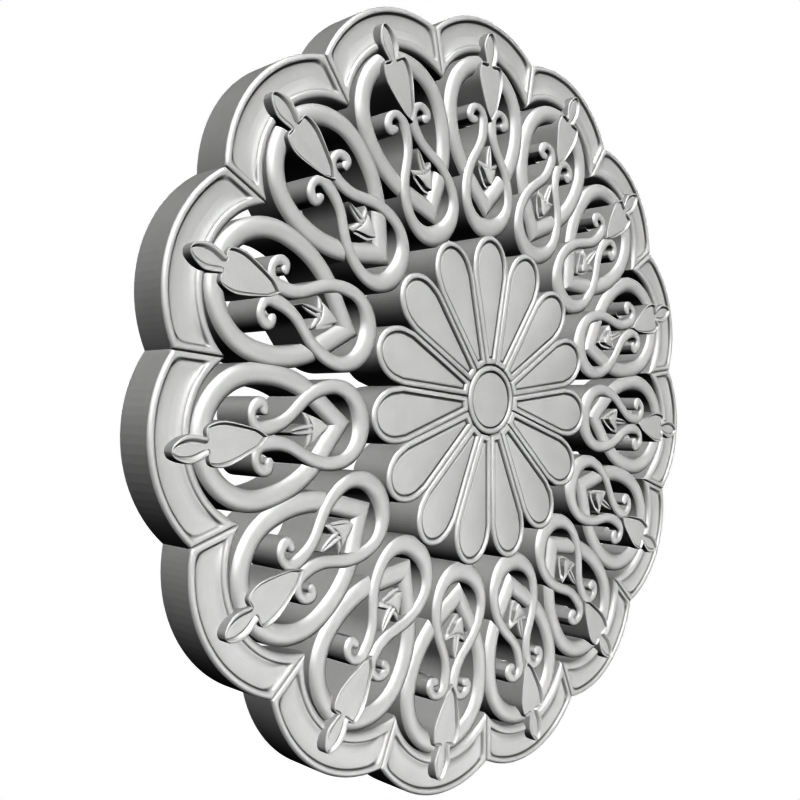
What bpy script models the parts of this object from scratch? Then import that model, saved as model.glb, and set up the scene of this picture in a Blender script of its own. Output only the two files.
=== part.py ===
# Carved rosette, a round pierced onlay for a wall, a door or a ceiling
#
# It is one carved board with a flat back. Fifteen lobes make the rim. Each lobe carries
# a leaf, and the leaf holds a knot: a pointed hoop with a looped strand over it, whose
# two ends roll into scrolls, and a small bud inside. Fifteen petals make the flower.
#
# Metres, +Z up. The carved front faces -Y, and the back lies on the plane Y = 0 with the
# origin at its centre. Points are first given for the motif that stands straight up:
# t to the right of its axis, r outward from the centre, h up from the back.

import bmesh
import bpy
from math import asin, cos, pi, radians, sin, tan
from mathutils import Matrix

MOTIFS = 15
HALF_SECTOR = pi / MOTIFS
QUARTER = pi / 2

# Rim, plan
LOBE_CROWN = 0.2000          # centre of the rosette to the crown of a lobe
NOTCH_RADIUS = 0.1894        # centre to the notch between two lobes
ARCH_CROWN = 0.1822          # centre to the crown of a lobe's inner arch
CUSP_RADIUS = 0.1667         # centre to the inner point between two lobes
RIM_BEAD = 0.0034            # width of the bead along the outside and the seams
ARCH_BEAD = 0.0027           # width of the bead along the inner arch

# Hoop, plan
HOOP_CENTRE = 0.1491         # centre of the rosette to the centre of the hoop's crown
HOOP_RADIUS = 0.0267         # crown of the hoop, to the middle of the band
HOOP_FLANK_RADIUS = 0.0487
HOOP_POINT_ANGLE = radians(45)
HOOP_WIDTH = 0.0096

# Strand, plan, from the inner end of its loop to the end of its scroll
LOOP_START = 0.0900          # centre of the rosette to the inner end of the loop
LOOP_RADIUS = 0.0171
LOOP_WIDTH = 0.0104
LOOP_END_WIDTH = 0.0069
STRAND_SLANT = radians(35)
SLANT_RADIUS = 0.0312        # bend from the loop into the slanting stretch
SLANT_WIDTH = 0.0063
STRAND_RUN = 0.0066          # length of the slanting stretch
STRAND_WIDTH = 0.0060
NECK_RADIUS = 0.0268         # bend from the slant into the neck of the scroll
NECK_WIDTH = 0.0068
SCROLL_TOP_RADIUS = 0.0060
SCROLL_TOP_WIDTH = 0.0043
SCROLL_SIDE_RADIUS = 0.0050
SCROLL_SIDE_WIDTH = 0.0055
SCROLL_TUCK_RADIUS = 0.0028
SCROLL_TUCK_WIDTH = 0.0044
SCROLL_EYE = (0.0108, 0.1464)
SCROLL_EYE_RADIUS = 0.0036

# Flower, plan
PETAL_TIP = 0.0860           # centre of the rosette to the tip of a petal
PETAL_END_CENTRE = 0.0691    # centre of the petal's round end
PETAL_HALF_WIDTH = 0.0137
PETAL_BEAD = 0.0036
PETAL_ROOT = 0.0184          # groove between the petals and the centre ring
CROSS_CREST = 0.0205         # crest and foot of the bead across a petal's root
CROSS_FOOT = 0.0228
RING_CREST = 0.0167
RING_FOOT = 0.0148

# Heights above the back
RIM_TOP = 0.0215
HOOP_TOP = 0.0213
LOOP_TOP = 0.0220
STRAND_TOP = 0.0233
SCROLL_EYE_TOP = 0.0222
BUD_TOP = 0.0238
LEAF_TOP = 0.0246
PETAL_TOP = 0.0246
FIELD_DEPTH = 0.0018         # a field lies this far below the crest of its bead
BEAD_ROUND = 0.0012          # a wall ends this far below the crest of its bead
SEAM_DEPTH = 0.0020          # depth of the groove between two lobes or two petals

# Corners of the leaf and of the bud, right half, from the outer end to the inner end
LEAF_HALF = (
    (0.0018, 0.1918),
    (0.0058, 0.1838),
    (0.0037, 0.1753),
    (0.0078, 0.1751),
    (0.0095, 0.1700),
    (0.0078, 0.1612),
    (0.0010, 0.1465),
)
BUD_HALF = (
    (0.0007, 0.1340),
    (0.0024, 0.1221),
    (0.0071, 0.1240),
    (0.0046, 0.1184),
    (0.0000, 0.1090),
)

# Section of the hoops and strands: side and drop, as shares of the half width
BAND_SECTION = ((-1.0, 0.62), (0.0, 0.0), (1.0, 0.62))

# How finely the round stretches are cut
RIM_STEPS = 6
PETAL_STEPS = 6
CROWN_STEPS = 4
FLANK_STEPS = 2
LOOP_STEPS = 3
SCROLL_STEPS = 2
EYE_CORNERS = 6
TRIANGLES = 9950             # what the form keeps once needless corners are cleared
SAME_CORNER = 0.00001        # corners closer than this are one
SMOOTH_ANGLE = radians(40)


def clear_scene():
    for item in list(bpy.data.objects):
        bpy.data.objects.remove(item, do_unlink=True)


def painted_wood():
    finish = bpy.data.materials.new("carved_wood")
    finish.use_nodes = True
    shader = finish.node_tree.nodes["Principled BSDF"]
    shader.inputs["Base Color"].default_value = (0.60, 0.60, 0.59, 1.0)
    shader.inputs["Roughness"].default_value = 0.45
    shader.inputs["Metallic"].default_value = 0.0
    return finish


def add_ring(mesh, points):
    """Add one ring of (t, r, h) points and return its vertices."""
    return [mesh.verts.new((t, -h, r)) for t, r, h in points]


def join_rings(mesh, low, high, skip=()):
    """Join two rings with quads, leaving out the sides whose index is in skip."""
    for i in range(len(low)):
        if i not in skip:
            j = (i + 1) % len(low)
            mesh.faces.new((low[i], low[j], high[j], high[i]))


def at_height(plan, h):
    return [(t, r, h) for t, r in plan]


def round_the_centre(mesh):
    """Copy what the mesh holds to every motif of the rosette."""
    geometry = mesh.verts[:] + mesh.edges[:] + mesh.faces[:]
    for k in range(1, MOTIFS):
        turned = bmesh.ops.duplicate(mesh, geom=geometry)["geom"]
        verts = [item for item in turned if isinstance(item, bmesh.types.BMVert)]
        turn = Matrix.Rotation(2 * k * HALF_SECTOR, 3, "Y")
        bmesh.ops.rotate(mesh, verts=verts, cent=(0, 0, 0), matrix=turn)


def finish_object(mesh, name):
    """Close the mesh, turn its faces out and cut them into flat triangles."""
    bmesh.ops.remove_doubles(mesh, verts=mesh.verts[:], dist=SAME_CORNER)
    bmesh.ops.recalc_face_normals(mesh, faces=mesh.faces[:])
    bmesh.ops.triangulate(mesh, faces=mesh.faces[:])
    data = bpy.data.meshes.new(name)
    mesh.to_mesh(data)
    mesh.free()
    item = bpy.data.objects.new(name, data)
    bpy.context.scene.collection.objects.link(item)
    return item


# Rim

def arc_radius(crown, corner_radius):
    """Radius of the arc through a crown and two corners on the sector's sides."""
    half_chord = corner_radius * sin(HALF_SECTOR)
    rise = crown - corner_radius * cos(HALF_SECTOR)
    return (half_chord ** 2 + rise ** 2) / (2 * rise)


def lobe_arc(centre, radius, seam_inset):
    """Arc about a point of the motif's axis, out to a line that runs inside the seam."""
    reach = HALF_SECTOR + asin((centre * sin(HALF_SECTOR) - seam_inset) / radius)
    angles = [reach * (2 * i / RIM_STEPS - 1) for i in range(RIM_STEPS + 1)]
    return [(radius * sin(a), centre + radius * cos(a)) for a in angles]


def lobe_plan(share):
    """Outline of a lobe, drawn in by a share of its bead's width."""
    outer_radius = arc_radius(LOBE_CROWN, NOTCH_RADIUS)
    inner_radius = arc_radius(ARCH_CROWN, CUSP_RADIUS)
    inset = share * RIM_BEAD
    outer = lobe_arc(LOBE_CROWN - outer_radius, outer_radius - inset, inset)
    arch = lobe_arc(ARCH_CROWN - inner_radius, inner_radius + share * ARCH_BEAD, inset)
    return outer + arch[::-1]


def beaded_edge(plan, top, seam_corners):
    """Top of the wall: rounded off along a bead, deeper where two beads meet in a groove."""
    drops = [SEAM_DEPTH if i in seam_corners else BEAD_ROUND for i in range(len(plan))]
    return [(t, r, top - drop) for (t, r), drop in zip(plan, drops)]


def make_rim():
    mesh = bmesh.new()
    plan = lobe_plan(0.0)
    last = len(plan) - 1
    back = add_ring(mesh, at_height(plan, 0.0))
    wall = add_ring(mesh, beaded_edge(plan, RIM_TOP, (0, RIM_STEPS, RIM_STEPS + 1, last)))
    crest = add_ring(mesh, at_height(lobe_plan(0.5), RIM_TOP))
    foot = add_ring(mesh, at_height(lobe_plan(1.0), RIM_TOP - FIELD_DEPTH))
    mesh.faces.new(back)
    join_rings(mesh, back, wall, skip=(RIM_STEPS, last))
    join_rings(mesh, wall, crest)
    join_rings(mesh, crest, foot)
    mesh.faces.new(foot)
    round_the_centre(mesh)
    return finish_object(mesh, "rosette")


# Flower

def petal_plan(inset, root):
    """Outline of a petal: a half ellipse at the tip, straight sides down to the root."""
    width = PETAL_HALF_WIDTH - inset
    length = PETAL_TIP - PETAL_END_CENTRE - inset
    side_inset = inset / cos(HALF_SECTOR)
    shoulder = (width + side_inset) / tan(HALF_SECTOR)
    root_half = root * tan(HALF_SECTOR) - side_inset
    angles = [pi * i / PETAL_STEPS for i in range(1, PETAL_STEPS)]
    tip = [(-width * cos(a), PETAL_END_CENTRE + length * sin(a)) for a in angles]
    sides = [(width, shoulder), (root_half, root), (-root_half, root)]
    return [(-width, shoulder)] + tip + sides


def make_flower():
    mesh = bmesh.new()
    plan = petal_plan(0.0, PETAL_ROOT)
    last = len(plan) - 1
    back = add_ring(mesh, at_height(plan, 0.0))
    wall = add_ring(mesh, beaded_edge(plan, PETAL_TOP, (0, last - 2, last - 1, last)))
    crest = add_ring(mesh, at_height(petal_plan(PETAL_BEAD / 2, CROSS_CREST), PETAL_TOP))
    foot_plan = petal_plan(PETAL_BEAD, CROSS_FOOT)
    foot = add_ring(mesh, at_height(foot_plan, PETAL_TOP - FIELD_DEPTH))
    mesh.faces.new(back)
    join_rings(mesh, back, wall, skip=(last - 2, last - 1, last))
    join_rings(mesh, wall, crest)
    join_rings(mesh, crest, foot)
    mesh.faces.new(foot)
    make_centre(mesh, wall[last - 1:], back[last - 1:])
    round_the_centre(mesh)
    return finish_object(mesh, "flower")


def make_centre(mesh, groove, back):
    """One wedge of the centre ring and of the flat field inside it."""
    low = groove
    for radius, h in ((RING_CREST, PETAL_TOP), (RING_FOOT, PETAL_TOP - FIELD_DEPTH)):
        half = radius * sin(HALF_SECTOR)
        r = radius * cos(HALF_SECTOR)
        high = add_ring(mesh, ((half, r, h), (-half, r, h)))
        mesh.faces.new((low[0], low[1], high[1], high[0]))
        low = high
    middle = add_ring(mesh, ((0.0, 0.0, PETAL_TOP - FIELD_DEPTH), (0.0, 0.0, 0.0)))
    mesh.faces.new((low[0], low[1], middle[0]))
    mesh.faces.new((back[0], back[1], middle[1]))


# Bands of the knot

def bend(radius, turn, steps, width, top):
    """A move along an arc, with the band's width and top at its end; a left turn is positive."""
    return (radius * abs(turn), turn, steps, width / 2, top)


def straight(length, width, top):
    return (length, 0.0, 1, width / 2, top)


def trace(start, moves):
    """Stations along the moves: t, r, the left side's direction, half width, top.

    The start is t, r, heading, half width, top.
    """
    t, r, heading, half, top = start
    stations = [(t, r, -sin(heading), cos(heading), half, top)]
    for length, turn, steps, half_end, top_end in moves:
        for i in range(1, steps + 1):
            share = i / steps
            a = heading + turn * share
            if turn:
                radius = length / turn
                across = radius * (sin(a) - sin(heading))
                out = radius * (cos(heading) - cos(a))
            else:
                across = length * share * cos(heading)
                out = length * share * sin(heading)
            width = half + (half_end - half) * share
            height = top + (top_end - top) * share
            stations.append((t + across, r + out, -sin(a), cos(a), width, height))
        t, r = stations[-1][:2]
        heading, half, top = heading + turn, half_end, top_end
    return stations


def mirrored(stations):
    """The same band on the other side of the motif's axis, run the other way."""
    turned = []
    for t, r, side_t, side_r, half, top in stations[::-1]:
        turned.append((-t, r, -side_t, side_r, half, top))
    return turned


def make_band(mesh, stations, closed):
    """Sweep the section along the stations, with upright walls down to the back."""
    rings = []
    for t, r, side_t, side_r, half, top in stations:
        shape = [(side * half, top - drop * half) for side, drop in BAND_SECTION]
        shape = [(-half, 0.0)] + shape + [(half, 0.0)]
        rings.append(add_ring(mesh, [(t + side_t * s, r + side_r * s, h) for s, h in shape]))
    for low, high in zip(rings, rings[1:]):
        join_rings(mesh, low, high)
    if closed:
        join_rings(mesh, rings[-1], rings[0])
    else:
        mesh.faces.new(rings[0])
        mesh.faces.new(rings[-1])


def hoop_stations():
    """Right half of the hoop, from its crown down to its point."""
    flank_end = HOOP_RADIUS - HOOP_FLANK_RADIUS * (1 - cos(HOOP_POINT_ANGLE))
    arm = flank_end / sin(HOOP_POINT_ANGLE)
    start = (0.0, HOOP_CENTRE + HOOP_RADIUS, 0.0, HOOP_WIDTH / 2, HOOP_TOP)
    moves = (
        bend(HOOP_RADIUS, -QUARTER, CROWN_STEPS, HOOP_WIDTH, HOOP_TOP),
        bend(HOOP_FLANK_RADIUS, -HOOP_POINT_ANGLE, FLANK_STEPS, HOOP_WIDTH, HOOP_TOP),
        straight(arm, HOOP_WIDTH, HOOP_TOP),
    )
    stations = trace(start, moves)
    point = stations[-1][1]
    mitre_half = HOOP_WIDTH / 2 / cos(HOOP_POINT_ANGLE)
    stations[-1] = (0.0, point, 0.0, -1.0, mitre_half, HOOP_TOP)
    return stations


def make_hoops():
    mesh = bmesh.new()
    right = hoop_stations()
    make_band(mesh, right + mirrored(right)[1:-1], closed=True)
    round_the_centre(mesh)
    return finish_object(mesh, "hoops")


def strand_stations():
    """Right half of the strand, from the inner end of its loop to the end of its scroll."""
    start = (0.0, LOOP_START, 0.0, LOOP_WIDTH / 2, LOOP_TOP)
    moves = (
        bend(LOOP_RADIUS, QUARTER, LOOP_STEPS, LOOP_END_WIDTH, STRAND_TOP),
        bend(SLANT_RADIUS, STRAND_SLANT, 1, SLANT_WIDTH, STRAND_TOP),
        straight(STRAND_RUN, STRAND_WIDTH, STRAND_TOP),
        bend(NECK_RADIUS, -STRAND_SLANT, 1, NECK_WIDTH, STRAND_TOP),
        bend(SCROLL_TOP_RADIUS, -QUARTER, SCROLL_STEPS, SCROLL_TOP_WIDTH, STRAND_TOP),
        bend(SCROLL_SIDE_RADIUS, -QUARTER, SCROLL_STEPS, SCROLL_SIDE_WIDTH, STRAND_TOP),
        bend(SCROLL_TUCK_RADIUS, -QUARTER / 2, 1, SCROLL_TUCK_WIDTH, STRAND_TOP),
    )
    return trace(start, moves)


def make_right_strands():
    mesh = bmesh.new()
    make_band(mesh, strand_stations(), closed=False)
    round_the_centre(mesh)
    return finish_object(mesh, "right_strands")


def make_left_strands():
    mesh = bmesh.new()
    make_band(mesh, mirrored(strand_stations()), closed=False)
    round_the_centre(mesh)
    return finish_object(mesh, "left_strands")


# Prisms: leaf, bud and the eyes of the scrolls

def make_prism(mesh, plan, top):
    low = add_ring(mesh, at_height(plan, 0.0))
    high = add_ring(mesh, at_height(plan, top))
    join_rings(mesh, low, high)
    mesh.faces.new(low)
    mesh.faces.new(high)


def both_halves(half):
    """Close a right half outline over the motif's axis."""
    left = [(-t, r) for t, r in half[::-1] if t > 0]
    return list(half) + left


def make_leaves():
    mesh = bmesh.new()
    make_prism(mesh, both_halves(LEAF_HALF), LEAF_TOP)
    round_the_centre(mesh)
    return finish_object(mesh, "leaves")


def make_buds():
    mesh = bmesh.new()
    make_prism(mesh, both_halves(BUD_HALF), BUD_TOP)
    round_the_centre(mesh)
    return finish_object(mesh, "buds")


def make_scroll_eyes():
    mesh = bmesh.new()
    t, r = SCROLL_EYE
    angles = [2 * pi * (k + 0.5) / EYE_CORNERS for k in range(EYE_CORNERS)]
    right = [(t + SCROLL_EYE_RADIUS * cos(a), r + SCROLL_EYE_RADIUS * sin(a)) for a in angles]
    left = [(-t, r) for t, r in right]
    make_prism(mesh, right, SCROLL_EYE_TOP)
    make_prism(mesh, left, SCROLL_EYE_TOP)
    round_the_centre(mesh)
    return finish_object(mesh, "scroll_eyes")


# Assembly

def unite(body, others):
    """Join the others to the body in one Boolean; they stay as hidden guides."""
    carving = bpy.data.collections.new("carving")
    for other in others:
        other.hide_render = True
        other.display_type = "WIRE"
        carving.objects.link(other)
    union = body.modifiers.new("carving", "BOOLEAN")
    union.operation = "UNION"
    union.solver = "EXACT"
    union.operand_type = "COLLECTION"
    union.collection = carving
    union.use_self = True


def bake_union(body):
    """Keep the union's result as the body's own mesh, in clean triangles."""
    shape = body.evaluated_get(bpy.context.evaluated_depsgraph_get())
    body.data = bpy.data.meshes.new_from_object(shape)
    body.modifiers.clear()
    mesh = bmesh.new()
    mesh.from_mesh(body.data)
    bmesh.ops.triangulate(mesh, faces=mesh.faces[:])
    bmesh.ops.remove_doubles(mesh, verts=mesh.verts[:], dist=SAME_CORNER)
    mesh.to_mesh(body.data)
    mesh.free()


def main():
    clear_scene()
    rosette = make_rim()
    rosette.data.materials.append(painted_wood())
    carving = (
        make_hoops(),
        make_flower(),
        make_right_strands(),
        make_left_strands(),
        make_scroll_eyes(),
        make_leaves(),
        make_buds(),
    )
    unite(rosette, carving)
    bake_union(rosette)
    thin = rosette.modifiers.new("thin", "DECIMATE")
    thin.decimate_type = "COLLAPSE"
    thin.ratio = TRIANGLES / len(rosette.data.polygons)
    rosette.data.shade_smooth()
    rosette.data.set_sharp_from_angle(angle=SMOOTH_ANGLE)


main()
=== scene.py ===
import bmesh
import bpy
from math import asin, ceil, cos, hypot, pi, radians, sin, sqrt, tan
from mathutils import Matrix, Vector


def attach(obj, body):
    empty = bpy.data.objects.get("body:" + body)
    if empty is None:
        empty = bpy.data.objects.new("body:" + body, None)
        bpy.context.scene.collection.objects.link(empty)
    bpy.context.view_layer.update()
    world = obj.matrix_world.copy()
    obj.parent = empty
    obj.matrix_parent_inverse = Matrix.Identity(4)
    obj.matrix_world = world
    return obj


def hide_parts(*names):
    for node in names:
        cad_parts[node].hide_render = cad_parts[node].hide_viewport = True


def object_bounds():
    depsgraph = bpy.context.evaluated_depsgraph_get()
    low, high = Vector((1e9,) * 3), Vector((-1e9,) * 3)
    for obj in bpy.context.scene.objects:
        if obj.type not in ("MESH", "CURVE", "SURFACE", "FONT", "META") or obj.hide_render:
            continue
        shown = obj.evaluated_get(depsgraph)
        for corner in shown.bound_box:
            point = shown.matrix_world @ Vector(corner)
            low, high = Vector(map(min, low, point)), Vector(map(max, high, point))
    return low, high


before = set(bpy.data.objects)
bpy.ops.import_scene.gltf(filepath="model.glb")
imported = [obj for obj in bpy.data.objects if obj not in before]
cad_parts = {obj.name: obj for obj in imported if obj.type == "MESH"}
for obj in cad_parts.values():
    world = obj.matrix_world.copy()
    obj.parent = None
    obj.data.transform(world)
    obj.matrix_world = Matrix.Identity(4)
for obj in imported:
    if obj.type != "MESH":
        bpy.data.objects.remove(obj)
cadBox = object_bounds()

# The looks of a carved and painted rosette. Every piece is drawn for the motif that
# stands straight up: t to the right of its axis, r outward from the centre and h up
# from the flat back, all in millimetres. Geometry Nodes copy it round the centre.
motifs = 15
halfSector = pi / motifs
crownHeight = 200.0                # of the top lobe, above the centre
mm = cadBox[1].z / crownHeight
reliefTop = -cadBox[0].y / mm      # highest carving above the back


def toWorld(t, r, h):
    return (t * mm, -h * mm, r * mm)


def newMesh():
    mesh = bmesh.new()
    mesh.verts.layers.float.new("groove")     # painted shade: how far a groove is darkened, 0 to 1
    return mesh


def addRing(mesh, points, paintedShade=0.0):
    # every point of the ring carries its share of the painted shade
    layer = mesh.verts.layers.float["groove"]
    ring = [mesh.verts.new(toWorld(*point)) for point in points]
    for vert in ring:
        vert[layer] = paintedShade
    return ring


def joinRings(mesh, low, high, closed=True):
    count = len(low) if closed else len(low) - 1
    for i in range(count):
        j = (i + 1) % len(low)
        mesh.faces.new((low[i], low[j], high[j], high[i]))


def blendLines(a, b, share):
    return [(p[0] + (q[0] - p[0]) * share, p[1] + (q[1] - p[1]) * share) for p, q in zip(a, b)]


def atHeight(line, h):
    return [(t, r, h) for t, r in line]


def smoothLine(points, steps):
    # a smooth line through every point, with this many steps from one to the next
    line = []
    for i in range(len(points) - 1):
        before = points[max(i - 1, 0)]
        start, end = points[i], points[i + 1]
        after = points[min(i + 2, len(points) - 1)]
        for k in range(steps):
            x = k / steps
            line.append(tuple(
                0.5 * (2 * start[c] + (end[c] - before[c]) * x
                       + (2 * before[c] - 5 * start[c] + 4 * end[c] - after[c]) * x ** 2
                       + (3 * start[c] - before[c] - 3 * end[c] + after[c]) * x ** 3)
                for c in (0, 1)))
    return line + [points[-1]]


onAxis = 0.001                     # mm, a point closer than this lies on the axis


def bothHalves(half):
    # closes the right half of an outline, without repeating the points on the motif's axis
    return list(half) + [(-t, r) for t, r in half[::-1] if t > onAxis]


def meshObject(mesh, name):
    data = bpy.data.meshes.new(name)
    mesh.to_mesh(data)
    mesh.free()
    item = bpy.data.objects.new(name, data)
    bpy.context.scene.collection.objects.link(item)
    return item


def newTree(name, inputs):
    tree = bpy.data.node_groups.new(name, "GeometryNodeTree")
    tree.interface.new_socket("Geometry", in_out="INPUT", socket_type="NodeSocketGeometry")
    for title, kind in inputs:
        tree.interface.new_socket(title, in_out="INPUT", socket_type=kind)
    tree.interface.new_socket("Geometry", in_out="OUTPUT", socket_type="NodeSocketGeometry")
    return tree


def addNode(tree, kind, links=None, **settings):
    # links: input name or number -> an output socket, or a plain value
    node = tree.nodes.new(kind)
    for key, value in settings.items():
        setattr(node, key, value)
    for key, value in (links or {}).items():
        if isinstance(value, bpy.types.NodeSocket):
            tree.links.new(value, node.inputs[key])
        else:
            node.inputs[key].default_value = value
    return node


def mathNode(tree, operation, a, b=None, clamp=False):
    links = {0: a} if b is None else {0: a, 1: b}
    node = addNode(tree, "ShaderNodeMath", links, operation=operation, use_clamp=clamp)
    return node.outputs[0]


def copyRound(tree, given, geometry):
    # copies round the axis of the rosette, joins what touches, and gives the finish
    points = addNode(tree, "GeometryNodePoints", {"Count": given["Copies"]})
    turn = mathNode(tree, "DIVIDE", 2 * pi, given["Copies"])
    index = addNode(tree, "GeometryNodeInputIndex").outputs[0]
    angle = mathNode(tree, "MULTIPLY", index, turn)
    spin = addNode(tree, "FunctionNodeAxisAngleToRotation", {"Axis": (0, 1, 0), "Angle": angle})
    copies = addNode(tree, "GeometryNodeInstanceOnPoints", {
        "Points": points.outputs[0], "Instance": geometry, "Rotation": spin.outputs[0]})
    whole = addNode(tree, "GeometryNodeRealizeInstances", {"Geometry": copies.outputs[0]})
    joined = addNode(tree, "GeometryNodeMergeByDistance", {
        "Geometry": whole.outputs[0], "Distance": given["Join Distance"]})
    finished = addNode(tree, "GeometryNodeSetMaterial", {
        "Geometry": joined.outputs[0], "Material": given["Finish"]})
    addNode(tree, "NodeGroupOutput", {0: finished.outputs[0]})


roundInputs = (
    ("Copies", "NodeSocketInt"),
    ("Join Distance", "NodeSocketFloat"),
    ("Finish", "NodeSocketMaterial"),
)


def makeRoundTree():
    tree = newTree("motif round the centre", roundInputs)
    given = addNode(tree, "NodeGroupInput").outputs
    copyRound(tree, given, given["Geometry"])
    return tree


edgeSlope = radians(62)            # of a band's round top, where it meets the walls


def makeBandTree():
    # sweeps a round top with upright walls along a line, whose points hold
    # "across" (to the band's edge), "crest" (its height) and "fall" (crest to edge)
    tree = newTree("band along a line", (("Section Points", "NodeSocketInt"),) + roundInputs)
    given = addNode(tree, "NodeGroupInput").outputs
    line = addNode(tree, "GeometryNodeMeshToCurve", {"Mesh": given["Geometry"]})
    place = addNode(tree, "GeometryNodeInputPosition").outputs[0]
    middle = addNode(tree, "GeometryNodeStoreNamedAttribute", {
        "Geometry": line.outputs[0], "Name": "middle", "Value": place},
        data_type="FLOAT_VECTOR", domain="POINT")
    # the section is a closed line of the top's points and two feet on the back
    footed = mathNode(tree, "ADD", given["Section Points"], 2)
    base = addNode(tree, "GeometryNodeMeshLine", {"Count": footed})
    order = addNode(tree, "GeometryNodeInputIndex").outputs[0]
    numbered = addNode(tree, "GeometryNodeStoreNamedAttribute", {
        "Geometry": base.outputs[0], "Name": "order", "Value": order},
        data_type="FLOAT", domain="POINT")
    section = addNode(tree, "GeometryNodeMeshToCurve", {"Mesh": numbered.outputs[0]})
    closed = addNode(tree, "GeometryNodeSetSplineCyclic", {
        "Geometry": section.outputs[0], "Cyclic": True})
    swept = addNode(tree, "GeometryNodeCurveToMesh", {
        "Curve": middle.outputs[0], "Profile Curve": closed.outputs[0], "Fill Caps": True})

    def named(name, kind):
        node = addNode(tree, "GeometryNodeInputNamedAttribute", {"Name": name}, data_type=kind)
        return node.outputs[0]

    spot = named("order", "FLOAT")
    steps = mathNode(tree, "SUBTRACT", given["Section Points"], 1)
    share = mathNode(tree, "DIVIDE", mathNode(tree, "SUBTRACT", spot, 1), steps, clamp=True)
    angle = mathNode(tree, "MULTIPLY", mathNode(tree, "SUBTRACT", share, 0.5), 2 * edgeSlope)
    side = mathNode(tree, "DIVIDE", mathNode(tree, "SINE", angle), sin(edgeSlope))
    rise = mathNode(tree, "COSINE", angle)
    drop = mathNode(tree, "DIVIDE", mathNode(tree, "SUBTRACT", 1, rise), 1 - cos(edgeSlope))
    dip = mathNode(tree, "MULTIPLY", drop, named("fall", "FLOAT"))
    height = mathNode(tree, "SUBTRACT", named("crest", "FLOAT"), dip)
    aboveFoot = mathNode(tree, "MULTIPLY", mathNode(tree, "GREATER_THAN", spot, 0.5), mathNode(
        tree, "LESS_THAN", spot, mathNode(tree, "ADD", given["Section Points"], 0.5)))
    height = mathNode(tree, "MULTIPLY", height, aboveFoot)
    out = addNode(tree, "ShaderNodeVectorMath", {
        0: named("across", "FLOAT_VECTOR"), "Scale": side}, operation="SCALE")
    up = addNode(tree, "ShaderNodeCombineXYZ", {"Y": mathNode(tree, "MULTIPLY", height, -1)})
    edge = addNode(tree, "ShaderNodeVectorMath", {
        0: named("middle", "FLOAT_VECTOR"), 1: out.outputs[0]}, operation="ADD")
    spotPlace = addNode(tree, "ShaderNodeVectorMath", {
        0: edge.outputs[0], 1: up.outputs[0]}, operation="ADD")
    shaped = addNode(tree, "GeometryNodeSetPosition", {
        "Geometry": swept.outputs[0], "Position": spotPlace.outputs[0]})
    copyRound(tree, given, shaped.outputs[0])
    return tree


smoothAngle = radians(42)          # edges that turn more than this stay sharp
bandSmoothAngle = radians(30)
wallTilt = 0.1                     # a face that leans less than this is an upright wall


def finishPiece(name, source, tree, values, sharpAngle=smoothAngle, flatWalls=False):
    modifier = source.modifiers.new(tree.name, "NODES")
    modifier.node_group = tree
    for socket in tree.interface.items_tree:
        if socket.in_out == "INPUT" and socket.name in values:
            modifier[socket.identifier] = values[socket.name]
    shape = source.evaluated_get(bpy.context.evaluated_depsgraph_get())
    data = bpy.data.meshes.new_from_object(shape)
    bpy.data.objects.remove(source)
    for spare in ("across", "crest", "fall", "middle", "order"):
        if spare in data.attributes:
            data.attributes.remove(data.attributes[spare])
    mesh = bmesh.new()
    mesh.from_mesh(data)
    bmesh.ops.recalc_face_normals(mesh, faces=mesh.faces[:])
    mesh.to_mesh(data)
    mesh.free()
    data.name = name
    data.shade_smooth()
    data.set_sharp_from_angle(angle=sharpAngle)
    if flatWalls:
        for face in data.polygons:
            if abs(face.normal.y) < wallTilt:
                face.use_smooth = False
    piece = bpy.data.objects.new(name, data)
    bpy.context.scene.collection.objects.link(piece)
    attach(piece, "root")
    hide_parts("rosette")
    data.calc_loop_triangles()
    print(name, "has", len(data.loop_triangles), "triangles")


paint = {
    "colour": (0.60, 0.60, 0.597, 1.0),
    "thinColour": (0.565, 0.565, 0.562, 1.0),   # where the coat is thinner
    "paintedShade": (0.06, 0.06, 0.06, 1.0),            # painted shade: the dark colour laid into the grooves
    "roughness": (0.36, 0.50),
    "mottleSize": 26,                           # mottles per metre
    "mottleRange": (0.35, 0.7),
    "grainSize": (900, 900, 70),                # wood grain per metre, along z
    "grainDepth": 0.00004,
    "brushSize": 1400,                          # brush marks per metre
    "brushDepth": 0.00002,
}


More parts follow.
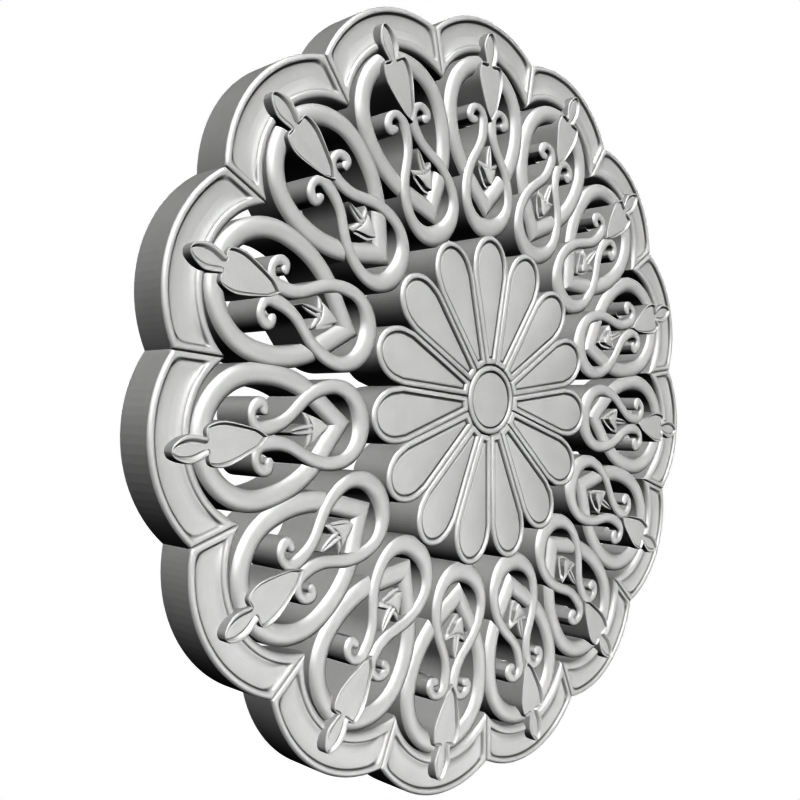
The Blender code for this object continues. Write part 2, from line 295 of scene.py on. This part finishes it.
def makePaintedWood():
    finish = bpy.data.materials.new("paintedWood")
    finish.use_nodes = True
    tree = finish.node_tree
    shader = tree.nodes["Principled BSDF"]
    place = addNode(tree, "ShaderNodeTexCoord").outputs["Object"]
    mottle = addNode(tree, "ShaderNodeTexNoise", {
        "Vector": place, "Scale": paint["mottleSize"], "Detail": 4, "Roughness": 0.6})
    stretched = addNode(tree, "ShaderNodeMapping", {
        "Vector": place, "Scale": paint["grainSize"]})
    grain = addNode(tree, "ShaderNodeTexNoise", {
        "Vector": stretched.outputs[0], "Scale": 1, "Detail": 3, "Roughness": 0.55})
    brush = addNode(tree, "ShaderNodeTexNoise", {
        "Vector": place, "Scale": paint["brushSize"], "Detail": 2})
    amount = addNode(tree, "ShaderNodeMapRange", {
        "Value": mottle.outputs[0], "From Min": paint["mottleRange"][0],
        "From Max": paint["mottleRange"][1]})
    # inputs 0, 6 and 7 of a colour mix are its factor and its two colours
    colour = addNode(tree, "ShaderNodeMix", {
        0: amount.outputs[0], 6: paint["colour"], 7: paint["thinColour"]}, data_type="RGBA")
    # the groove attribute mixes in painted shade, darkening the grooves
    groove = addNode(tree, "ShaderNodeAttribute", attribute_name="groove")
    paintedShadeMix = addNode(tree, "ShaderNodeMix", {
        0: groove.outputs["Fac"], 6: colour.outputs[2], 7: paint["paintedShade"]}, data_type="RGBA")
    tree.links.new(paintedShadeMix.outputs[2], shader.inputs["Base Color"])
    gloss = addNode(tree, "ShaderNodeMapRange", {
        "Value": grain.outputs[0], "To Min": paint["roughness"][0],
        "To Max": paint["roughness"][1]})
    tree.links.new(gloss.outputs[0], shader.inputs["Roughness"])
    grainBump = addNode(tree, "ShaderNodeBump", {
        "Height": grain.outputs[0], "Distance": paint["grainDepth"]})
    brushBump = addNode(tree, "ShaderNodeBump", {
        "Height": brush.outputs[0], "Distance": paint["brushDepth"],
        "Normal": grainBump.outputs[0]})
    tree.links.new(brushBump.outputs[0], shader.inputs["Normal"])
    return finish


paintedWood = makePaintedWood()
roundTree = makeRoundTree()
bandTree = makeBandTree()
motifJoin = 0.00002                # metres, joins the points of neighbouring motifs
fineJoin = 0.000001                # for pieces whose own points lie close together
roundValues = {"Copies": motifs, "Join Distance": motifJoin, "Finish": paintedWood}
print("finish and trees are ready")

# the rim has fifteen lobes, each a framed field between two arcs
rim = {
    "lobeCrown": crownHeight,
    "notchRadius": 189.4,
    "archCrown": 180.7,
    "cuspRadius": 164.5,
    "top": 21.5,
    "steps": 28,
    "crowding": 0.45,            # how far the points of an arc crowd towards its corners
    # inset from the outer edge, inset from the arch, depth below the top by each, painted shade
    "bead": ((0.0, 0.0, 1.4, 2.7, 0), (0.25, 0.35, 0.95, 1.75, 0), (0.6, 0.8, 0.52, 1.0, 0),
             (1.05, 1.4, 0.2, 0.42, 0), (1.55, 2.05, 0.02, 0.09, 0), (2.0, 2.7, 0.0, 0.0, 0),
             (2.4, 3.3, 0.1, 0.04, 0), (2.75, 3.75, 0.42, 0.3, 0), (3.0, 4.0, 0.85, 0.6, 0.2),
             (3.2, 4.15, 1.25, 0.85, 0.7), (3.45, 4.3, 1.6, 0.98, 0.7),
             (3.75, 4.5, 1.82, 1.0, 0.2), (4.1, 4.75, 2.0, 1.06, 0)),
    "field": ((4.8, 5.4, 2.24, 1.42, 0), (5.6, 6.2, 2.4, 1.8, 0), (6.5, 7.1, 2.51, 2.12, 0),
              (7.5, 8.1, 2.57, 2.36, 0), (8.6, 9.2, 2.6, 2.54, 0)),
    "seamDepth": 2.6,
    "seamShares": (0.04, 0.09, 0.16, 0.27, 0.5, 0.73, 0.84, 0.91, 0.96),
    # how much of the painted shade in the groove the seams and the arch keep
    "seamPaintedShade": 0.5,
    "archPaintedShade": 0.3,
    "outerCorner": 5.0,          # rounding of the field's corners
    "archCorner": 2.6,
    "cornerFrom": 2.0,           # outer inset where the rounding starts
    "cornerGrowth": 1.5,         # and over which it grows to its full size
    "cornerBlend": 6,            # points over which the arch's depth takes over
}


def arcRadius(crown, cornerRadius):
    halfChord = cornerRadius * sin(halfSector)
    rise = crown - cornerRadius * cos(halfSector)
    return (halfChord ** 2 + rise ** 2) / (2 * rise)


def lobeLine(outerInset, archInset):
    # outline of a lobe: the outer arc, the right seam, the arch back again, the left seam
    def arc(centre, radius):
        reach = halfSector + asin((centre * sin(halfSector) - outerInset) / radius)
        line = []
        for i in range(rim["steps"] + 1):
            x = 2 * i / rim["steps"] - 1
            a = reach * ((1 - rim["crowding"]) * x + rim["crowding"] * sin(pi / 2 * x))
            line.append((radius * sin(a), centre + radius * cos(a)))
        return line

    outerRadius = arcRadius(rim["lobeCrown"], rim["notchRadius"])
    archRadius = arcRadius(rim["archCrown"], rim["cuspRadius"])
    outer = arc(rim["lobeCrown"] - outerRadius, outerRadius - outerInset)
    arch = arc(rim["archCrown"] - archRadius, archRadius + archInset)[::-1]
    right = [blendLines(outer[-1:], arch[:1], share)[0] for share in rim["seamShares"]]
    left = [blendLines(arch[-1:], outer[:1], 1 - share)[0] for share in rim["seamShares"][::-1]]
    return outer + right + arch + left


def roundCorner(line, corner, size):
    # bends the line round the corner, over the given length on each side of it
    if size <= 0:
        return line
    count = len(line)

    def walk(step):
        met, way, at = [], 0.0, corner
        while True:
            after = (at + step) % count
            way += hypot(line[after][0] - line[at][0], line[after][1] - line[at][1])
            if way >= size:
                return met, blendLines([line[corner]], [line[after]], size / way)[0]
            met.append((after, way))
            at = after

    before, start = walk(-1)
    behind, end = walk(1)
    bent = list(line)
    for at, way in [(at, -way) for at, way in before] + [(corner, 0.0)] + behind:
        x = (way / size + 1) / 2
        bent[at] = tuple((1 - x) ** 2 * start[c] + 2 * x * (1 - x) * line[corner][c]
                         + x ** 2 * end[c] for c in (0, 1))
    return bent


def makeRim():
    mesh = newMesh()
    steps, top = rim["steps"], rim["top"]
    seam = len(rim["seamShares"])
    archStart = steps + 1 + seam
    archEnd = archStart + steps
    paintedShadeLayer = mesh.verts.layers.float["groove"]

    def ring(outerInset, archInset, outerDepth, archDepth, paintedShade):
        # the corners get rounder towards the field
        line = lobeLine(outerInset, archInset)
        bend = min(1, max(0, (outerInset - rim["cornerFrom"]) / rim["cornerGrowth"]))
        for corner, size in ((0, rim["outerCorner"]), (steps, rim["outerCorner"]),
                             (archStart, rim["archCorner"]), (archEnd, rim["archCorner"])):
            line = roundCorner(line, corner, size * bend)
        verts = []
        for i, (t, r) in enumerate(line):
            onArch = archStart <= i <= archEnd
            onSeam = steps <= i <= archStart or i >= archEnd or i == 0
            way = min(1, min(abs(i - archStart), abs(archEnd - i)) / rim["cornerBlend"])
            arched = way * way * (3 - 2 * way) if onArch else 0
            depth = outerDepth + (archDepth - outerDepth) * arched
            if outerInset == 0 and onSeam:
                depth = rim["seamDepth"]
            vert = addRing(mesh, [(t, r, top - depth)])[0]
            # painted shade in the groove, less of it on the arch and the seams
            kept = rim["archPaintedShade"] if onArch else rim["seamPaintedShade"] if onSeam else 1
            vert[paintedShadeLayer] = paintedShade * kept
            verts.append(vert)
        return verts

    rings = [ring(*entry) for entry in rim["bead"] + rim["field"]]
    back = addRing(mesh, atHeight(lobeLine(0, 0), 0))
    for i in [*range(steps), *range(archStart, archEnd)]:     # no walls on the seams
        mesh.faces.new((back[i], back[i + 1], rings[0][i + 1], rings[0][i]))
    for low, high in zip(rings, rings[1:]):
        joinRings(mesh, low, high)
    ends = [mesh.faces.new(back), mesh.faces.new(rings[-1])]
    bmesh.ops.triangulate(mesh, faces=ends)
    finishPiece("rim", meshObject(mesh, "lobe"), roundTree, roundValues, flatWalls=True)


makeRim()

# the flower has fifteen petals and the round boss in the middle
flower = {
    "petalTip": 86.0,
    "endCentre": 69.1,
    "halfWidth": 13.7,
    "root": 18.4,
    "rootShare": 1.15,           # the bead across the root is this much wider
    "top": reliefTop,
    "steps": 30,
    # inset, depth below the top and painted shade of each ring
    "bead": ((0.0, 1.2, 0), (0.25, 0.85, 0), (0.6, 0.48, 0), (1.05, 0.18, 0), (1.5, 0.02, 0),
             (1.95, 0.0, 0), (2.4, 0.14, 0), (2.75, 0.5, 0), (3.0, 1.05, 0), (3.2, 1.55, 0.6),
             (3.5, 1.65, 0.8), (3.8, 1.45, 0.5), (4.15, 1.1, 0), (4.7, 0.95, 0)),
    "grooveDepth": 2.5,
    # radius, depth and painted shade of the boss, from the middle outwards
    "boss": ((13.4, 0.93, 0), (13.9, 0.98, 0), (14.3, 1.15, 0.5), (14.55, 1.5, 1.0),
             (14.75, 1.5, 0.9), (14.95, 1.0, 0.2), (15.2, 0.5, 0), (15.6, 0.14, 0), (16.1, 0.0, 0),
             (16.6, 0.02, 0), (17.1, 0.18, 0), (17.6, 0.5, 0), (18.0, 0.95, 0.2),
             (18.25, 1.6, 0.9), (18.5, 2.5, 1.0), (19.1, 2.6, 1.0)),
    "bossSteps": 12,             # for each petal
}


def petalLine(inset):
    # outline of a petal drawn in by a distance, from the left shoulder over the tip
    width = flower["halfWidth"] - inset
    length = flower["petalTip"] - flower["endCentre"] - inset
    sideInset = inset / cos(halfSector)
    shoulder = (width + sideInset) / tan(halfSector)
    root = flower["root"] + inset * flower["rootShare"]
    rootHalf = root * tan(halfSector) - sideInset
    line = [(-width, shoulder)]
    for i in range(1, flower["steps"]):
        a = pi * i / flower["steps"]
        line.append((-width * cos(a), flower["endCentre"] + length * sin(a)))
    return line + [(width, shoulder), (rootHalf, root), (-rootHalf, root)]


def makePetals():
    mesh = newMesh()
    top, line = flower["top"], petalLine(0)
    last = len(line) - 1
    corners = (0, last - 2, last - 1, last)
    back = addRing(mesh, atHeight(line, 0))
    low = addRing(mesh, [(t, r, top - (flower["grooveDepth"] if i in corners
                                       else flower["bead"][0][1]))
                         for i, (t, r) in enumerate(line)])
    for i in range(len(line)):
        if i not in (last - 2, last):                 # the sides meet the next petals
            j = (i + 1) % len(line)
            mesh.faces.new((back[i], back[j], low[j], low[i]))
    mesh.faces.new(back)
    # each ring of the bead carries its painted shade
    for inset, depth, paintedShade in flower["bead"][1:]:
        high = addRing(mesh, atHeight(petalLine(inset), top - depth), paintedShade)
        joinRings(mesh, low, high)
        low = high
    mesh.faces.new(low)
    finishPiece("petals", meshObject(mesh, "petal"), roundTree, roundValues, flatWalls=True)


def makeBoss():
    mesh = newMesh()
    steps = flower["bossSteps"]
    angles = [halfSector * (2 * i / steps - 1) for i in range(steps + 1)]
    middle = mesh.verts.new(toWorld(0, 0, flower["top"] - flower["boss"][0][1]))
    backMiddle = mesh.verts.new(toWorld(0, 0, 0))

    def arc(radius, h, paintedShade=0.0):
        return addRing(mesh, [(radius * sin(a), radius * cos(a), h) for a in angles], paintedShade)

    low = arc(flower["boss"][0][0], flower["top"] - flower["boss"][0][1])
    for i in range(steps):
        mesh.faces.new((low[i], low[i + 1], middle))
    for radius, depth, paintedShade in flower["boss"][1:]:
        high = arc(radius, flower["top"] - depth, paintedShade)
        joinRings(mesh, low, high, closed=False)
        low = high
    high = arc(flower["boss"][-1][0], 0)
    joinRings(mesh, low, high, closed=False)
    for i in range(steps):
        mesh.faces.new((high[i], high[i + 1], backMiddle))
    finishPiece("boss", meshObject(mesh, "bossWedge"), roundTree, roundValues)


makePetals()
makeBoss()


# hoops and strands are bands: lines with a width and a height at every point
def traceLine(start, moves, stepLength):
    # start: t, r, heading, half width, crest; a move: length, turn, half width, crest
    t, r, heading, half, crest = start
    stations = [(t, r, heading, half, crest)]
    for length, turn, halfEnd, crestEnd in moves:
        steps = max(2, ceil(length / stepLength))
        for i in range(1, steps + 1):
            x = i / steps
            a = heading + turn * x
            if turn:
                radius = length / turn
                at = (t + radius * (sin(a) - sin(heading)),
                      r + radius * (cos(heading) - cos(a)))
            else:
                at = (t + length * x * cos(heading), r + length * x * sin(heading))
            ease = x * x * (3 - 2 * x)
            stations.append((*at, a, half + (halfEnd - half) * ease,
                             crest + (crestEnd - crest) * ease))
        t, r = stations[-1][:2]
        heading, half, crest = heading + turn, halfEnd, crestEnd
    return stations


def arcMove(radius, degrees, half, crest):
    return (radius * abs(radians(degrees)), radians(degrees), half, crest)


def mirrorLine(stations):
    return [(-t, r, -heading, half, crest) for t, r, heading, half, crest in stations[::-1]]


def leftSides(stations):
    # from the middle of the band to its left edge, at every station
    return [(-sin(heading) * half, cos(heading) * half) for t, r, heading, half, crest in stations]


def mirrorSides(sides):
    return [(-a, b) for a, b in sides[::-1]]


def makeBand(name, stations, sides, closed, sectionPoints):
    mesh = bmesh.new()
    verts = [mesh.verts.new(toWorld(s[0], s[1], 0)) for s in stations]
    for a, b in zip(verts, verts[1:]):
        mesh.edges.new((a, b))
    if closed:
        mesh.edges.new((verts[-1], verts[0]))
    line = meshObject(mesh, name + "Line")
    across = [c for side in sides for c in toWorld(*side, 0)]
    line.data.attributes.new("across", "FLOAT_VECTOR", "POINT").data.foreach_set("vector", across)
    crests = [height * mm for _, _, _, _, height in stations]
    line.data.attributes.new("crest", "FLOAT", "POINT").data.foreach_set("value", crests)
    falls = [half * tan(edgeSlope / 2) * mm for _, _, _, half, _ in stations]
    line.data.attributes.new("fall", "FLOAT", "POINT").data.foreach_set("value", falls)
    values = {**roundValues, "Section Points": sectionPoints, "Join Distance": fineJoin}
    finishPiece(name, line, bandTree, values, sharpAngle=bandSmoothAngle)


# a hoop has a round crown and runs down to a point
hoop = {
    "crownCentre": 149.1,
    "crownRadius": 26.7,
    "flankRadius": 48.7,
    "pointAngle": 45,
    "halfWidth": 4.8,
    "crest": 21.9,
    "stepLength": 1.6,
    "sectionPoints": 13,
}


def makeHoops():
    half, crest, point = hoop["halfWidth"], hoop["crest"], radians(hoop["pointAngle"])
    arm = (hoop["crownRadius"] - hoop["flankRadius"] * (1 - cos(point))) / sin(point)
    start = (0, hoop["crownCentre"] + hoop["crownRadius"], 0, half, crest)
    right = traceLine(start, (
        arcMove(hoop["crownRadius"], -90, half, crest),
        arcMove(hoop["flankRadius"], -hoop["pointAngle"], half, crest),
        (arm, 0, half, crest)), hoop["stepLength"])
    sides = leftSides(right)
    sides[-1] = (0, -half / cos(point))               # the mitre at the point
    makeBand("hoops", right + mirrorLine(right)[1:-1], sides + mirrorSides(sides)[1:-1],
             True, hoop["sectionPoints"])


makeHoops()

# a strand is a loop whose two ends roll into scrolls
strand = {
    "loopStart": 90.0,
    "loopHalf": 5.4,
    "crest": 23.4,
    # from the loop's foot to the scroll: radius, degrees and half width at the end of a
    # bend, or 0, length and half width at the end of a straight
    "course": ((17.1, 90, 3.35), (31.2, 35, 3.0), (0, 6.55, 2.95), (24.4, -35, 3.35),
               (0, 1.5, 3.3), (5.97, -90, 2.1), (5.0, -90, 2.75), (1.8, -90, 2.45),
               (0, 1.3, 2.3)),
    "stepLength": 1.1,
    "sectionPoints": 12,
    "capSteps": 7,
    "capTurn": 88,               # degrees through which the scroll's end is rounded
    "capFall": 0.5,              # and how far it falls, as a share of the half width
}


def makeStrands():
    crest = strand["crest"]
    start = (0, strand["loopStart"], 0, strand["loopHalf"], crest)
    right = traceLine(start, [
        arcMove(radius, amount, half, crest) if radius else (amount, 0, half, crest)
        for radius, amount, half in strand["course"]], strand["stepLength"])
    t, r, heading, half, height = right[-1]
    for i in range(1, strand["capSteps"] + 1):
        a = min(pi / 2 * i / strand["capSteps"], radians(strand["capTurn"]))
        right.append((t + half * sin(a) * cos(heading), r + half * sin(a) * sin(heading),
                      heading, half * cos(a), height - half * strand["capFall"] * (1 - cos(a))))
    sides = leftSides(right)
    makeBand("strands", mirrorLine(right)[:-1] + right, mirrorSides(sides)[:-1] + sides,
             False, strand["sectionPoints"])


makeStrands()

# a scroll's eye is the floor of the groove inside it
scrollEye = {"t": 10.8, "r": 146.4, "radius": 4.0, "top": 16.0, "corners": 18}


def makeScrollEyes():
    mesh = newMesh()
    for side in (-1, 1):
        line = []
        for k in range(scrollEye["corners"]):
            a = 2 * pi * k / scrollEye["corners"]
            line.append((side * (scrollEye["t"] + scrollEye["radius"] * cos(a)),
                         scrollEye["r"] + scrollEye["radius"] * sin(a)))
        back = addRing(mesh, atHeight(line, 0))
        top = addRing(mesh, atHeight(line, scrollEye["top"]))
        joinRings(mesh, back, top)
        mesh.faces.new(back)
        mesh.faces.new(top)
    finishPiece("scrollEyes", meshObject(mesh, "scrollEye"), roundTree, roundValues)


makeScrollEyes()

# a leaf is a drop on a shouldered body, with a bead along the whole edge
leaf = {
    "top": reliefTop,
    # right half of the drop and of the body: edge, then the groove inside its bead
    "drop": (((0, 192.1), (0, 191.2)), ((1.9, 191.5), (1.0, 190.2)),
             ((3.4, 189.9), (1.95, 188.6)), ((4.75, 187.4), (2.6, 186.4)),
             ((5.6, 184.9), (2.85, 184.1)), ((5.75, 182.8), (2.8, 182.0)),
             ((5.0, 179.4), (2.2, 179.2)), ((4.2, 177.0), (1.45, 176.9)),
             ((3.85, 175.65), (1.0, 174.9))),
    "body": (((3.85, 175.65), (1.0, 174.9)), ((4.6, 175.7), (2.4, 174.2)),
             ((5.6, 175.75), (4.2, 174.25)), ((6.7, 175.5), (5.7, 174.45)),
             ((7.7, 174.9), (6.75, 174.2)), ((8.55, 173.5), (7.3, 172.9)),
             ((9.15, 171.4), (7.6, 171.0)), ((9.45, 169.2), (7.7, 169.0)),
             ((9.4, 166.7), (7.6, 166.9)), ((8.75, 163.9), (7.1, 164.3)),
             ((7.7, 160.6), (6.2, 161.0)), ((6.4, 157.0), (5.1, 157.4)),
             ((5.0, 153.5), (3.9, 153.9)), ((3.4, 150.0), (2.6, 150.8)), ((0, 145.6), (0, 147.6))),
    "steps": 3,
    # from the edge to the groove: share of the way, depth below the top, painted shade
    "bead": ((0.0, 0.6, 0), (0.04, 0.36, 0), (0.1, 0.17, 0), (0.18, 0.05, 0), (0.28, 0.0, 0),
             (0.4, 0.05, 0), (0.52, 0.22, 0), (0.63, 0.48, 0), (0.73, 0.78, 0), (0.82, 1.1, 0),
             (0.9, 1.38, 0.1), (0.97, 1.54, 0.5), (1.03, 1.54, 0.5), (1.1, 1.36, 0),
             (1.2, 1.24, 0), (1.32, 1.22, 0)),
    "wallRing": 0.35,            # a ring this far below the edge keeps the wall's shade even
}


def leafHalf(which):
    # 0 gives the edge of a leaf's right half, 1 the groove inside the bead
    drop = smoothLine([pair[which] for pair in leaf["drop"]], leaf["steps"])
    return drop[:-1] + smoothLine([pair[which] for pair in leaf["body"]], leaf["steps"])


def makeLeaves():
    mesh = newMesh()
    edge, groove = bothHalves(leafHalf(0)), bothHalves(leafHalf(1))
    back = addRing(mesh, atHeight(edge, 0))
    low = back
    # each ring of the bead carries its painted shade
    for share, depth, paintedShade in ((0, leaf["bead"][0][1] + leaf["wallRing"], 0), *leaf["bead"]):
        high = addRing(mesh, atHeight(blendLines(edge, groove, share), leaf["top"] - depth), paintedShade)
        joinRings(mesh, low, high)
        low = high
    bmesh.ops.triangulate(mesh, faces=[mesh.faces.new(back), mesh.faces.new(low)])
    finishPiece("leaves", meshObject(mesh, "leaf"), roundTree, roundValues)


makeLeaves()

# a bud is an arrowhead over a bigger bract, on a stem with two ridges
bud = {
    # the head: right side from the tip to the barb, and the middle line beside it
    "side": ((0, 112.3), (1.4, 113.6), (2.6, 115.6), (3.6, 117.7), (4.7, 119.9), (5.8, 122.0)),
    "middle": ((0, 112.3), (0, 113.6), (0, 115.3), (0, 117.1), (0, 118.9), (0, 120.7)),
    "baseCurve": 1.7,            # of the line between the barbs
    "tipCrest": 24.0,
    "crest": 24.3,
    "edge": 23.3,
    "baseFall": 1.4,             # how far the head falls off towards that line
    "fallPower": 5,              # the higher, the later it falls off
    "tipHalf": 0.05,             # half the width of the tip
    "fullness": 2.6,             # the higher, the flatter the head and bract are across
    # the bract below it is bigger, and ends in a round bar
    "bractSide": ((0, 110.9), (2.2, 112.6), (3.7, 114.8), (4.9, 117.2), (6.2, 120.0),
                  (7.4, 123.0), (7.8, 125.2)),
    "bractMiddle": ((0, 110.9), (0, 112.6), (0, 114.6), (0, 116.8), (0, 119.2), (0, 121.4),
                    (0, 123.4)),
    "bractCrest": 20.7,
    "bractEdge": 20.4,
    "bar": (0.87, 0.13, 2.1),    # its middle and half width as a share of the bract, its rise
    "barFall": (0.5, 6),         # share of the rise lost at its ends, and how late
    "steps": 4,
    "across": 8,
    # half width and radius along the stem
    "stem": ((2.7, 120.8), (2.4, 124.4), (2.0, 128.4), (1.2, 131.6), (0.2, 133.4)),
    "stemHeight": 21.2,          # between its two ridges
    "stemRise": 1.9,
    "ridgeSteps": 8,
}


def gridPiece(mesh, rows):
    # a patch of rows with upright walls down to the back all round it
    tops = [addRing(mesh, row) for row in rows]
    feet = [addRing(mesh, [(t, r, 0) for t, r, h in row]) for row in rows]
    for a, b in zip(tops, tops[1:]):
        joinRings(mesh, a, b, closed=False)
    for a, b in zip(feet, feet[1:]):
        joinRings(mesh, a, b, closed=False)
    for top, foot in ((tops[0], feet[0]), (tops[-1], feet[-1]),
                      ([r[0] for r in tops], [r[0] for r in feet]),
                      ([r[-1] for r in tops], [r[-1] for r in feet])):
        joinRings(mesh, top, foot, closed=False)


def budPlate(side, middle, crest, tipCrest, edge, fall, bar=None):
    # an arrowhead with a rounded top: rows from the tip to the line between the barbs
    sides, middles = smoothLine(side, bud["steps"]), smoothLine(middle, bud["steps"])
    last = len(sides) - 1
    rows = []
    for i, ((sideT, sideR), (_, middleR)) in enumerate(zip(sides, middles)):
        x = i / last
        height = tipCrest + (crest - tipCrest) * sqrt(x)
        barRise = bar[2] * sqrt(max(0, 1 - ((x - bar[0]) / bar[1]) ** 2)) if bar else 0
        row = []
        for k in range(-bud["across"], bud["across"] + 1):
            u = sin(pi / 2 * k / bud["across"])
            row.append((u * max(sideT, bud["tipHalf"]),
                        middleR + (sideR - middleR) * abs(u) ** bud["baseCurve"],
                        edge + (height - edge) * (1 - abs(u) ** bud["fullness"])
                        - fall * x ** bud["fallPower"]
                        + barRise * (1 - bud["barFall"][0] * u ** bud["barFall"][1])))
        rows.append(row)
    return rows


def makeBuds():
    mesh = newMesh()
    gridPiece(mesh, budPlate(bud["side"], bud["middle"], bud["crest"], bud["tipCrest"],
                             bud["edge"], bud["baseFall"]))
    gridPiece(mesh, budPlate(bud["bractSide"], bud["bractMiddle"], bud["bractCrest"],
                             bud["bractCrest"], bud["bractEdge"], 0, bud["bar"]))
    ridge = [pi * k / bud["ridgeSteps"] for k in range(bud["ridgeSteps"] + 1)]
    section = [(side - 0.5 * cos(a), bud["stemHeight"] + bud["stemRise"] * sin(a))
               for side in (-0.5, 0.5) for a in ridge]
    del section[len(ridge)]                           # the ridges share their middle point
    gridPiece(mesh, [[(u * half, r, h) for u, h in section]
                     for half, r in smoothLine(bud["stem"], bud["steps"])])
    finishPiece("buds", meshObject(mesh, "bud"), roundTree,
                {**roundValues, "Join Distance": fineJoin})


makeBuds()

studio = {
    "floorHeight": -0.42,
    "floorSize": 12.0,
    "white": 1.0,                # what the camera sees of the backdrop and floor
    "ambient": 0.0,              # what the backdrop lights
    "floorTone": (0.02, 0.02, 0.02, 1),      # what the floor gives back to the rosette
}


def whiteForCamera(tree, white, other, output):
    # the camera sees plain white, and the light on the rosette comes from the lamps alone
    seen = addNode(tree, "ShaderNodeLightPath").outputs["Is Camera Ray"]
    mixed = addNode(tree, "ShaderNodeMixShader", {0: seen, 1: other, 2: white})
    tree.links.new(mixed.outputs[0], output)


def makeStage():
    world = bpy.data.worlds.new("studio")
    bpy.context.scene.world = world
    world.use_nodes = True
    tree = world.node_tree
    tree.nodes.clear()
    white = addNode(tree, "ShaderNodeBackground", {
        "Color": (1, 1, 1, 1), "Strength": studio["white"]})
    dim = addNode(tree, "ShaderNodeBackground", {
        "Color": (1, 1, 1, 1), "Strength": studio["ambient"]})
    output = addNode(tree, "ShaderNodeOutputWorld")
    whiteForCamera(tree, white.outputs[0], dim.outputs[0], output.inputs["Surface"])

    half, height = studio["floorSize"] / 2, studio["floorHeight"]
    mesh = bmesh.new()
    mesh.faces.new([mesh.verts.new((x, y, height)) for x, y in (
        (-half, -half), (half, -half), (half, half), (-half, half))])
    floor = meshObject(mesh, "floor")
    finish = bpy.data.materials.new("paleFloor")
    finish.use_nodes = True
    tree = finish.node_tree
    tree.nodes.clear()
    glow = addNode(tree, "ShaderNodeEmission", {"Strength": studio["white"]})
    matt = addNode(tree, "ShaderNodeBsdfDiffuse", {"Color": studio["floorTone"]})
    output = addNode(tree, "ShaderNodeOutputMaterial")
    whiteForCamera(tree, glow.outputs[0], matt.outputs[0], output.inputs["Surface"])
    floor.data.materials.append(finish)


# suns without shadow, which give either shade or gloss
lamps = (
    # name, direction from the rosette, strength, angle, what it gives
    ("key", (-0.39, -0.83, 0.41), 4.3, 12, "shade"),
    ("right", (0.79, -0.46, -0.41), 1.0, 12, "shade"),
    ("backLeft", (-0.32, 0.92, 0.21), 2.15, 12, "shade"),
    ("topRight", (0.72, -0.19, 0.67), 0.4, 12, "shade"),
    ("behind", (0.60, 0.80, 0.0), 2.2, 12, "shade"),      # for the sides turned from the camera
    ("highlight", (-0.66, -0.56, 0.50), 7.6, 56, "gloss"),
    ("topGloss", (-0.14, -0.28, 0.95), 4.6, 34, "gloss"),
    ("lowGloss", (-0.28, -0.90, -0.33), 1.2, 44, "gloss"),
    ("lowRightGloss", (0.41, -0.68, -0.62), 4.4, 56, "gloss"),
)


def makeLamps():
    for name, way, strength, angle, gives in lamps:
        light = bpy.data.lights.new(name, "SUN")
        light.energy = strength
        light.angle = radians(angle)
        light.use_shadow = False
        light.cycles.max_bounces = 0
        item = bpy.data.objects.new(name, light)
        item.visible_diffuse = gives == "shade"
        item.visible_glossy = gives == "gloss"
        bpy.context.scene.collection.objects.link(item)
        item.rotation_euler = Vector(way).to_track_quat("Z", "Y").to_euler()


camera = {
    "place": (-0.3854, -0.3425, 0.0),
    "turn": -44.935,
    "lens": 42.786,
    "sensor": 36,
    "nearest": 0.01,             # what is closer isn't drawn
}


def makeCamera():
    view = bpy.data.cameras.new("camera")
    view.lens = camera["lens"]
    view.sensor_width = camera["sensor"]
    view.clip_start = camera["nearest"]
    item = bpy.data.objects.new("camera", view)
    bpy.context.scene.collection.objects.link(item)
    item.location = camera["place"]
    item.rotation_euler = (radians(90), 0, radians(camera["turn"]))
    bpy.context.scene.camera = item


bpy.context.scene.view_settings.view_transform = "Raw"     # tones are shown as they are
makeStage()
makeLamps()
makeCamera()
print("stage, light and camera are ready")
